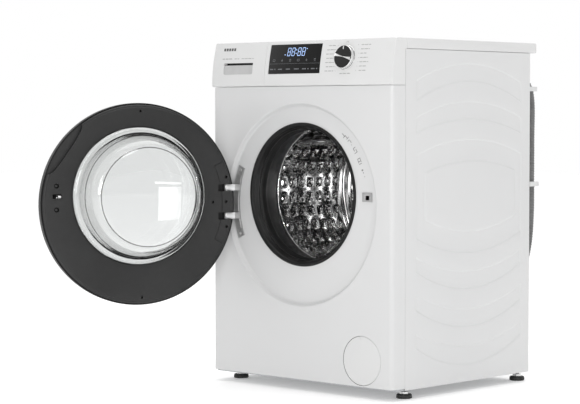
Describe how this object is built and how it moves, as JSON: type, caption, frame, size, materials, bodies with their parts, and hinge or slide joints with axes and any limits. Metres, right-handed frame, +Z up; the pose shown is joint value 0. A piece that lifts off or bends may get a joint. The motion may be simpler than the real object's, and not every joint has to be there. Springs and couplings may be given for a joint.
{
  "type": "front load washing machine",
  "caption": "Free-standing front-loading washing machine with a slanted control panel, round glass door standing open, sprung tub, perforated drum and levelling feet.",
  "frame": {"origin": "on the floor, under the middle of the whole object's box with its door open; the cabinet's own middle is 74 mm to the +X side and its front panel is 54 mm to the -Y side", "axes": "+Z up, -Y out of the front with the door, +X to the right seen from the front"},
  "size_m": [0.7498, 1.0225, 0.85],
  "materials": {
    "white_enamel": "satin white enamel on steel sheet",
    "white_plastic": "fine-grained white plastic",
    "galvanised": "galvanised sheet",
    "stainless": "polished stainless steel",
    "dark_plastic": "dark grey moulded plastic",
    "black_glass": "gloss black display window",
    "clear_glass": "clear pressed glass",
    "rubber_grey": "dark grey moulded rubber",
    "rubber_black": "black rubber",
    "tub_plastic": "light grey moulded plastic",
    "concrete": "cast iron ballast",
    "steel": "bright steel",
    "cast_aluminium": "as cast",
    "grey_plastic": "grey moulded plastic",
    "knob_dark": "gloss dark knob with a bright side",
    "blue_plastic": "blue moulded plastic",
    "hose_grey": "dark grey corrugated hose"
  },
  "bodies": {
    "cabinet": {"side_left": "white_enamel", "side_right": "white_enamel", "front_panel": "white_enamel", "base_pan": "galvanised", "back_panel": "galvanised", "service_cover": "galvanised", "top_lid": "white_plastic", "top_brace": "galvanised", "control_fascia": "white_plastic", "display_glass": "black_glass", "drawer_housing": "white_plastic", "latch_plate": "galvanised", "door_lock": "dark_plastic", "hinge_bracket": "galvanised", "filter_housing": "grey_plastic", "drain_pump": "grey_plastic", "drain_hose": "hose_grey", "hose_clip_1": "white_plastic", "hose_clip_2": "white_plastic", "hose_clip_3": "white_plastic", "inlet_valve": "grey_plastic", "cord_gland": "rubber_black"},
    "tub": {"tub_front": "tub_plastic", "tub_rear": "tub_plastic", "counterweight_top": "concrete", "counterweight_front": "concrete", "heater": "stainless", "motor": "galvanised", "drive_belt": "rubber_black", "gasket": "rubber_grey", "spring_left": "steel", "spring_right": "steel", "damper_left": "grey_plastic", "damper_right": "grey_plastic", "sump_hose": "rubber_black", "fill_hose": "rubber_black"},
    "drum": {"drum_shell": "stainless", "lifter_1": "stainless", "lifter_2": "stainless", "lifter_3": "stainless", "drum_spider": "cast_aluminium", "drum_pulley": "cast_aluminium"},
    "rotor": {"motor_pulley": "steel"},
    "door": {"door_front": "dark_plastic", "door_inner": "dark_plastic", "door_glass": "clear_glass", "door_window": "clear_glass", "hinge_pin": "steel"},
    "hook": {"door_hook": "steel"},
    "drawer": {"drawer_front": "white_plastic", "drawer_tray": "white_plastic", "siphon_cap": "blue_plastic"},
    "knob": {"program_knob": "knob_dark"},
    "flap": {"filter_cover": "white_plastic"},
    "plug": {"filter_cap": "grey_plastic"},
    "foot_fl": {"foot_front_left": "rubber_black"},
    "foot_fr": {"foot_front_right": "rubber_black"},
    "foot_bl": {"foot_back_left": "rubber_black"},
    "foot_br": {"foot_back_right": "rubber_black"}
  },
  "joints": [
    {"name": "tub_float", "type": "slide", "parent": "cabinet", "child": "tub", "axis": [0, 0, 1], "range_m": [-0.01, 0.008], "stiffness_N_per_m": 40000, "springref_m": 0.01719, "deforming": ["spring_left", "spring_right", "damper_left", "damper_right", "sump_hose", "fill_hose", "gasket"]},
    {"name": "drum_spin", "type": "hinge", "parent": "tub", "child": "drum", "pos_m": [0.074, 0.206, 0.4766], "axis": [0, 1, 0], "continuous": true},
    {"name": "motor_spin", "type": "hinge", "parent": "tub", "child": "rotor", "pos_m": [0.074, 0.436, 0.13], "axis": [0, 1, 0], "continuous": true},
    {"name": "door_hinge", "type": "hinge", "parent": "cabinet", "child": "door", "pos_m": [-0.158, -0.072, 0.4517], "axis": [0, 0, 1], "range_deg": [-9.5, 115.26]},
    {"name": "door_hook_pivot", "type": "hinge", "parent": "door", "child": "hook", "pos_m": [-0.34347, -0.47211, 0.4735], "axis": [0, 0, 1], "range_deg": [-5, 0.5], "stiffness_Nm_per_rad": 0.4},
    {"name": "drawer_slide", "type": "slide", "parent": "cabinet", "child": "drawer", "axis": [0, -1, 0], "range_m": [0, 0.19]},
    {"name": "knob_turn", "type": "hinge", "parent": "cabinet", "child": "knob", "pos_m": [0.2215, -0.05166, 0.806], "axis": [0, -0.9842, 0.1768], "continuous": true},
    {"name": "filter_flap_hinge", "type": "hinge", "parent": "cabinet", "child": "flap", "pos_m": [0.2765, -0.054, 0.0318], "axis": [1, 0, 0], "range_deg": [0, 95]},
    {"name": "filter_cap_turn", "type": "hinge", "parent": "cabinet", "child": "plug", "pos_m": [0.2765, -0.024, 0.089], "axis": [0, -1, 0], "range_deg": [0, 270]},
    {"name": "foot_screw_fl", "type": "slide", "parent": "cabinet", "child": "foot_fl", "axis": [0, 0, -1], "range_m": [0, 0.01]},
    {"name": "foot_screw_fr", "type": "slide", "parent": "cabinet", "child": "foot_fr", "axis": [0, 0, -1], "range_m": [0, 0.01]},
    {"name": "foot_screw_bl", "type": "slide", "parent": "cabinet", "child": "foot_bl", "axis": [0, 0, -1], "range_m": [0, 0.01]},
    {"name": "foot_screw_br", "type": "slide", "parent": "cabinet", "child": "foot_br", "axis": [0, 0, -1], "range_m": [0, 0.01]}
  ],
  "couplings": [
    {"joint": "motor_spin", "follows": "drum_spin", "ratio": 12.5}
  ]
}
